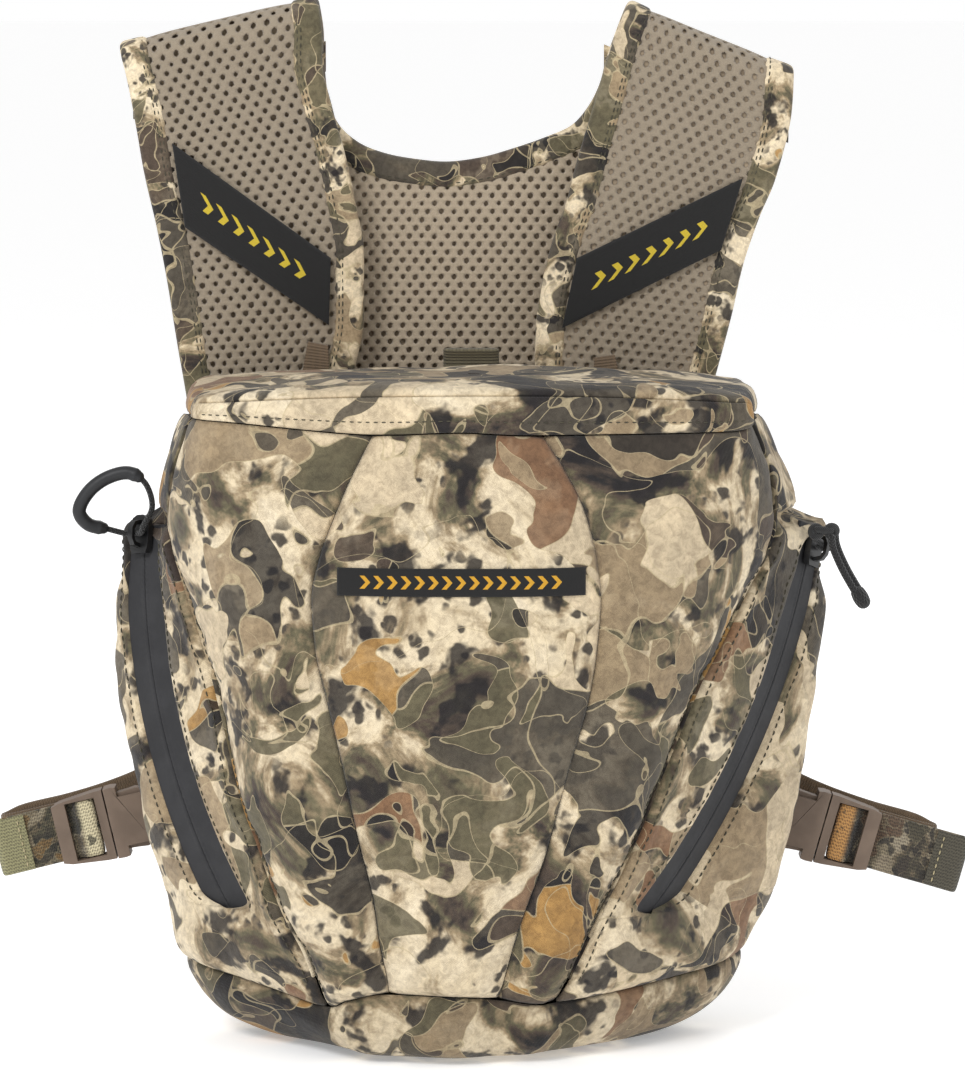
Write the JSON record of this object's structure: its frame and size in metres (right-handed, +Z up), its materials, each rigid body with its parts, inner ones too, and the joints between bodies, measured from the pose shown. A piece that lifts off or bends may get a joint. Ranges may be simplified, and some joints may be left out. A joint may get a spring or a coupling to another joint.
{
  "type": "binocular harness pack",
  "caption": "Padded chest pack with a lift-up lid, two curved zipped side pockets, side-release buckles and a folded spacer-mesh shoulder harness; carries a pair of binoculars.",
  "frame": {"origin": "middle of the flat of the bottom panel, at its lowest level (z = 0); the rear face of the back panel is 42 mm behind it", "axes": "+Z up the pack towards the shoulder straps, front of the pack faces -Y, +X to the right of someone looking at the front"},
  "size_m": [0.3354, 0.1181, 0.3488],
  "materials": {
    "camo_fabric": "matte brushed polyester, camouflage print, light base",
    "camo_fabric_dark": "matte brushed polyester, camouflage print, darker base",
    "spacer_mesh": "knitted spacer mesh with open holes",
    "camo_binding": "woven binding tape, camouflage print",
    "lining": "smooth woven lining",
    "foam_board": "plain stiffener sheet",
    "magnet_steel": "plated",
    "coated_zip": "satin coated zip tape",
    "zip_slider": "satin black",
    "cord": "braided cord",
    "pull_rubber": "matte moulded rubber",
    "buckle_plastic": "fine matte",
    "camo_webbing": "woven webbing, camouflage print",
    "tan_webbing": "plain woven webbing",
    "woven_band": "woven band with plain amber chevrons"
  },
  "bodies": {
    "pack": {"front_panel_centre": "camo_fabric", "front_panel_left": "camo_fabric_dark", "front_panel_right": "camo_fabric_dark", "left_side_wall": "camo_fabric_dark", "right_side_wall": "camo_fabric_dark", "left_pocket_shell": "camo_fabric", "right_pocket_shell": "camo_fabric", "bottom_panel": "camo_fabric", "back_panel": "camo_fabric_dark", "back_mesh_pad": "spacer_mesh", "compartment_liner": "lining", "front_label": "woven_band", "back_magnet_left": "magnet_steel", "back_magnet_right": "magnet_steel", "left_zip_tape": "coated_zip", "right_zip_tape": "coated_zip", "left_buckle_socket": "buckle_plastic", "left_anchor_webbing": "tan_webbing", "left_run_webbing": "tan_webbing", "right_buckle_socket": "buckle_plastic", "right_anchor_webbing": "tan_webbing", "right_run_webbing": "tan_webbing", "left_strap_mesh": "spacer_mesh", "left_strap_outer_binding": "camo_binding", "left_strap_inner_binding": "camo_binding", "right_strap_mesh": "spacer_mesh", "right_strap_outer_binding": "camo_binding", "right_strap_inner_binding": "camo_binding", "left_strap_band": "woven_band", "right_strap_band": "woven_band", "left_anchor_tape": "tan_webbing", "right_anchor_tape": "tan_webbing", "yoke_edge_binding": "camo_binding", "neck_binding": "camo_binding", "yoke_mesh": "spacer_mesh"},
    "lid": {"lid_top_panel": "camo_fabric", "lid_front_band": "camo_fabric_dark", "lid_stiffener": "foam_board", "lid_lining": "lining", "lid_magnet_left": "magnet_steel", "lid_magnet_right": "magnet_steel", "lid_pull_tab": "camo_webbing"},
    "left_slider": {"left_zip_slider": "zip_slider"},
    "right_slider": {"right_zip_slider": "zip_slider"},
    "left_pull": {"left_pull_cord": "cord", "left_pull_tube": "pull_rubber"},
    "right_pull": {"right_pull_knot": "cord", "right_pull_cord": "cord", "right_pull_end": "pull_rubber"},
    "left_plug": {"left_buckle_plug": "buckle_plastic", "left_tail_webbing": "camo_webbing"},
    "left_prong_up": {"left_prong_upper": "buckle_plastic"},
    "left_prong_low": {"left_prong_lower": "buckle_plastic"},
    "right_plug": {"right_buckle_plug": "buckle_plastic", "right_tail_webbing": "camo_webbing"},
    "right_prong_up": {"right_prong_upper": "buckle_plastic"},
    "right_prong_low": {"right_prong_lower": "buckle_plastic"}
  },
  "joints": [
    {"name": "lid_hinge", "type": "hinge", "parent": "pack", "child": "lid", "pos_m": [0, -0.0472, 0.2062], "axis": [1, 0, 0], "range_deg": [0, 170]},
    {"name": "left_zip", "type": "hinge", "parent": "pack", "child": "left_slider", "pos_m": [0.13318, -0.02167, 0.16845], "axis": [-0.1389, -0.961, 0.2394], "range_deg": [0, 27.9]},
    {"name": "left_pull_swing", "type": "hinge", "parent": "left_slider", "child": "left_pull", "pos_m": [-0.11078, 0.01035, 0.16929], "axis": [0.7402, -0.6589, 0.1341], "range_deg": [0, 100]},
    {"name": "left_buckle_release", "type": "slide", "parent": "pack", "child": "left_plug", "axis": [-0.9744, 0, -0.225], "range_m": [0, 0.03]},
    {"name": "left_prong_upper_squeeze", "type": "hinge", "parent": "left_plug", "child": "left_prong_up", "pos_m": [-0.12447, 0.042, 0.07289], "axis": [0, 1, 0], "range_deg": [0, 10]},
    {"name": "left_prong_lower_squeeze", "type": "hinge", "parent": "left_plug", "child": "left_prong_low", "pos_m": [-0.12073, 0.042, 0.05671], "axis": [0, -1, 0], "range_deg": [0, 10]},
    {"name": "right_zip", "type": "hinge", "parent": "pack", "child": "right_slider", "pos_m": [-0.13953, -0.08109, 0.23809], "axis": [-0.3767, 0.9152, -0.1433], "range_deg": [0, 24.8]},
    {"name": "right_pull_swing", "type": "hinge", "parent": "right_slider", "child": "right_pull", "pos_m": [0.11966, 0.01061, 0.16431], "axis": [-0.484, -0.8244, 0.2934], "range_deg": [-30, 35]},
    {"name": "right_buckle_release", "type": "slide", "parent": "pack", "child": "right_plug", "axis": [0.9636, 0, -0.2672], "range_m": [0, 0.03]},
    {"name": "right_prong_upper_squeeze", "type": "hinge", "parent": "right_plug", "child": "right_prong_up", "pos_m": [0.12522, 0.042, 0.0714], "axis": [0, -1, 0], "range_deg": [0, 10]},
    {"name": "right_prong_lower_squeeze", "type": "hinge", "parent": "right_plug", "child": "right_prong_low", "pos_m": [0.12078, 0.042, 0.0554], "axis": [0, 1, 0], "range_deg": [0, 10]}
  ],
  "couplings": [
    {"joint": "left_prong_upper_squeeze", "follows": "left_buckle_release", "rad_per_m": 5.5},
    {"joint": "left_prong_lower_squeeze", "follows": "left_buckle_release", "rad_per_m": 5.5},
    {"joint": "right_prong_upper_squeeze", "follows": "right_buckle_release", "rad_per_m": 5.5},
    {"joint": "right_prong_lower_squeeze", "follows": "right_buckle_release", "rad_per_m": 5.5}
  ]
}
